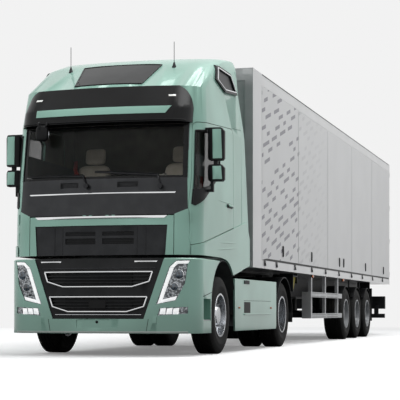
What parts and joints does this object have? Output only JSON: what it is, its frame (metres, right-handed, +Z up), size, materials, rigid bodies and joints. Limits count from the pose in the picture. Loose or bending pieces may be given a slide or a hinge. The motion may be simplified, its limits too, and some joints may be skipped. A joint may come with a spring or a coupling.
{
  "type": "articulated lorry",
  "caption": "Cab-over tractor with a box semi-trailer: the cab tilts, doors and front hatch open, front wheels steer, every wheel turns and the trailer swings at its coupling.",
  "frame": {"origin": "on the ground at the middle of the vehicle's length and width", "axes": "+Z up, front of the vehicle towards -Y, left side of the vehicle towards +X"},
  "size_m": [2.94, 16.5, 4.0267],
  "materials": {
    "black_trim": "grained",
    "chassis_paint": "satin",
    "coupling_steel": "greased",
    "cowl_paint": "satin",
    "engine_cast": "painted",
    "grey_plastic": "grained",
    "guard_aluminium": "anodised",
    "interior_plastic": "grained",
    "lamp_lens": "clear",
    "mint_paint": "pearl gloss",
    "panel_paint": "satin",
    "rim_alloy": "polished",
    "rim_steel": "silver",
    "screen_glass": "clear",
    "seat_fabric": "woven",
    "tank_aluminium": "brushed",
    "trailer_steel": "satin",
    "trailer_white": "gloss",
    "tyre_rubber": "matte",
    "visor_black": "gloss"
  },
  "bodies": {
    "tractor": {"tractor_frame": "chassis_paint", "front_brackets": "chassis_paint", "engine_block": "engine_cast", "front_axle": "chassis_paint", "drive_axle": "chassis_paint", "fifth_wheel": "coupling_steel", "fuel_tanks": "tank_aluminium", "side_skirts": "mint_paint", "rear_mudguards": "grey_plastic", "front_bumper": "mint_paint", "lower_grille": "black_trim", "headlamps": "lamp_lens"},
    "cab": {"cab_shell": "mint_paint", "cab_floor": "chassis_paint", "side_fins": "mint_paint", "cowl_panel": "cowl_paint", "windscreen": "screen_glass", "sun_visor": "visor_black", "dashboard": "interior_plastic", "steering_wheel": "interior_plastic", "seats": "seat_fabric", "roof_fittings": "black_trim"},
    "hatch": {"front_hatch": "mint_paint"},
    "left_door": {"door_left": "mint_paint", "door_glass_left": "screen_glass", "mirror_left": "mint_paint"},
    "right_door": {"door_right": "mint_paint", "door_glass_right": "screen_glass", "mirror_right": "mint_paint"},
    "left_knuckle": {"knuckle_left": "chassis_paint"},
    "right_knuckle": {"knuckle_right": "chassis_paint"},
    "steering_rod": {"track_rod": "chassis_paint"},
    "trailer": {"trailer_frame": "trailer_steel", "box_body": "trailer_white", "side_panels": "panel_paint", "landing_legs": "trailer_steel", "side_guards": "guard_aluminium", "trailer_axles": "trailer_steel"},
    "left_rear_door": {"rear_door_left": "trailer_white"},
    "right_rear_door": {"rear_door_right": "trailer_white"},
    "front_wheel_left": {"tyre_front_left": "tyre_rubber", "rim_front_left": "rim_alloy"},
    "drive_wheel_left": {"tyre_drive_left": "tyre_rubber", "rim_drive_left": "rim_steel"},
    "trailer_1_wheel_left": {"tyre_trailer_1_left": "tyre_rubber", "rim_trailer_1_left": "rim_steel"},
    "trailer_2_wheel_left": {"tyre_trailer_2_left": "tyre_rubber", "rim_trailer_2_left": "rim_steel"},
    "trailer_3_wheel_left": {"tyre_trailer_3_left": "tyre_rubber", "rim_trailer_3_left": "rim_steel"},
    "front_wheel_right": {"tyre_front_right": "tyre_rubber", "rim_front_right": "rim_alloy"},
    "drive_wheel_right": {"tyre_drive_right": "tyre_rubber", "rim_drive_right": "rim_steel"},
    "trailer_1_wheel_right": {"tyre_trailer_1_right": "tyre_rubber", "rim_trailer_1_right": "rim_steel"},
    "trailer_2_wheel_right": {"tyre_trailer_2_right": "tyre_rubber", "rim_trailer_2_right": "rim_steel"},
    "trailer_3_wheel_right": {"tyre_trailer_3_right": "tyre_rubber", "rim_trailer_3_right": "rim_steel"}
  },
  "joints": [
    {"name": "cab_tilt", "type": "hinge", "parent": "tractor", "child": "cab", "pos_m": [0, -8.05, 0.86], "axis": [1, 0, 0], "range_deg": [0, 60]},
    {"name": "hatch_lift", "type": "hinge", "parent": "cab", "child": "hatch", "pos_m": [0, -8.172, 1.744], "axis": [-1, 0, 0], "range_deg": [0, 70]},
    {"name": "left_door_swing", "type": "hinge", "parent": "cab", "child": "left_door", "pos_m": [1.135, -8.014, 1.6], "axis": [0, 0, -1], "range_deg": [0, 75]},
    {"name": "right_door_swing", "type": "hinge", "parent": "cab", "child": "right_door", "pos_m": [-1.135, -8.014, 1.6], "axis": [0, 0, 1], "range_deg": [0, 75]},
    {"name": "left_steer", "type": "hinge", "parent": "tractor", "child": "left_knuckle", "pos_m": [0.88, -6.87, 0.505], "axis": [0, 0, 1], "range_deg": [-40, 40]},
    {"name": "right_steer", "type": "hinge", "parent": "tractor", "child": "right_knuckle", "pos_m": [-0.88, -6.87, 0.505], "axis": [0, 0, 1], "range_deg": [-40, 40]},
    {"name": "rod_pivot", "type": "hinge", "parent": "left_knuckle", "child": "steering_rod", "pos_m": [0.88, -6.57, 0.42], "axis": [0, 0, 1], "range_deg": [-40, 40]},
    {"name": "trailer_yaw", "type": "hinge", "parent": "tractor", "child": "trailer", "pos_m": [0, -3.75, 1.15], "axis": [0, 0, 1], "range_deg": [-90, 90]},
    {"name": "left_rear_door_swing", "type": "hinge", "parent": "trailer", "child": "left_rear_door", "pos_m": [1.262, 8.238, 2.5], "axis": [0, 0, -1], "range_deg": [0, 260]},
    {"name": "right_rear_door_swing", "type": "hinge", "parent": "trailer", "child": "right_rear_door", "pos_m": [-1.262, 8.238, 2.5], "axis": [0, 0, 1], "range_deg": [0, 260]},
    {"name": "front_wheel_left_spin", "type": "hinge", "parent": "left_knuckle", "child": "front_wheel_left", "pos_m": [1.066, -6.87, 0.505], "axis": [1, 0, 0], "continuous": true},
    {"name": "drive_wheel_left_spin", "type": "hinge", "parent": "tractor", "child": "drive_wheel_left", "pos_m": [0.891, -3.17, 0.505], "axis": [1, 0, 0], "continuous": true},
    {"name": "trailer_1_wheel_left_spin", "type": "hinge", "parent": "trailer", "child": "trailer_1_wheel_left", "pos_m": [1.0475, 2.54, 0.505], "axis": [1, 0, 0], "continuous": true},
    {"name": "trailer_2_wheel_left_spin", "type": "hinge", "parent": "trailer", "child": "trailer_2_wheel_left", "pos_m": [1.0475, 3.85, 0.505], "axis": [1, 0, 0], "continuous": true},
    {"name": "trailer_3_wheel_left_spin", "type": "hinge", "parent": "trailer", "child": "trailer_3_wheel_left", "pos_m": [1.0475, 5.16, 0.505], "axis": [1, 0, 0], "continuous": true},
    {"name": "front_wheel_right_spin", "type": "hinge", "parent": "right_knuckle", "child": "front_wheel_right", "pos_m": [-1.066, -6.87, 0.505], "axis": [1, 0, 0], "continuous": true},
    {"name": "drive_wheel_right_spin", "type": "hinge", "parent": "tractor", "child": "drive_wheel_right", "pos_m": [-0.891, -3.17, 0.505], "axis": [1, 0, 0], "continuous": true},
    {"name": "trailer_1_wheel_right_spin", "type": "hinge", "parent": "trailer", "child": "trailer_1_wheel_right", "pos_m": [-1.0475, 2.54, 0.505], "axis": [1, 0, 0], "continuous": true},
    {"name": "trailer_2_wheel_right_spin", "type": "hinge", "parent": "trailer", "child": "trailer_2_wheel_right", "pos_m": [-1.0475, 3.85, 0.505], "axis": [1, 0, 0], "continuous": true},
    {"name": "trailer_3_wheel_right_spin", "type": "hinge", "parent": "trailer", "child": "trailer_3_wheel_right", "pos_m": [-1.0475, 5.16, 0.505], "axis": [1, 0, 0], "continuous": true}
  ],
  "couplings": [
    {"joint": "right_steer", "follows": "left_steer", "ratio": 1},
    {"joint": "rod_pivot", "follows": "left_steer", "ratio": -1}
  ]
}
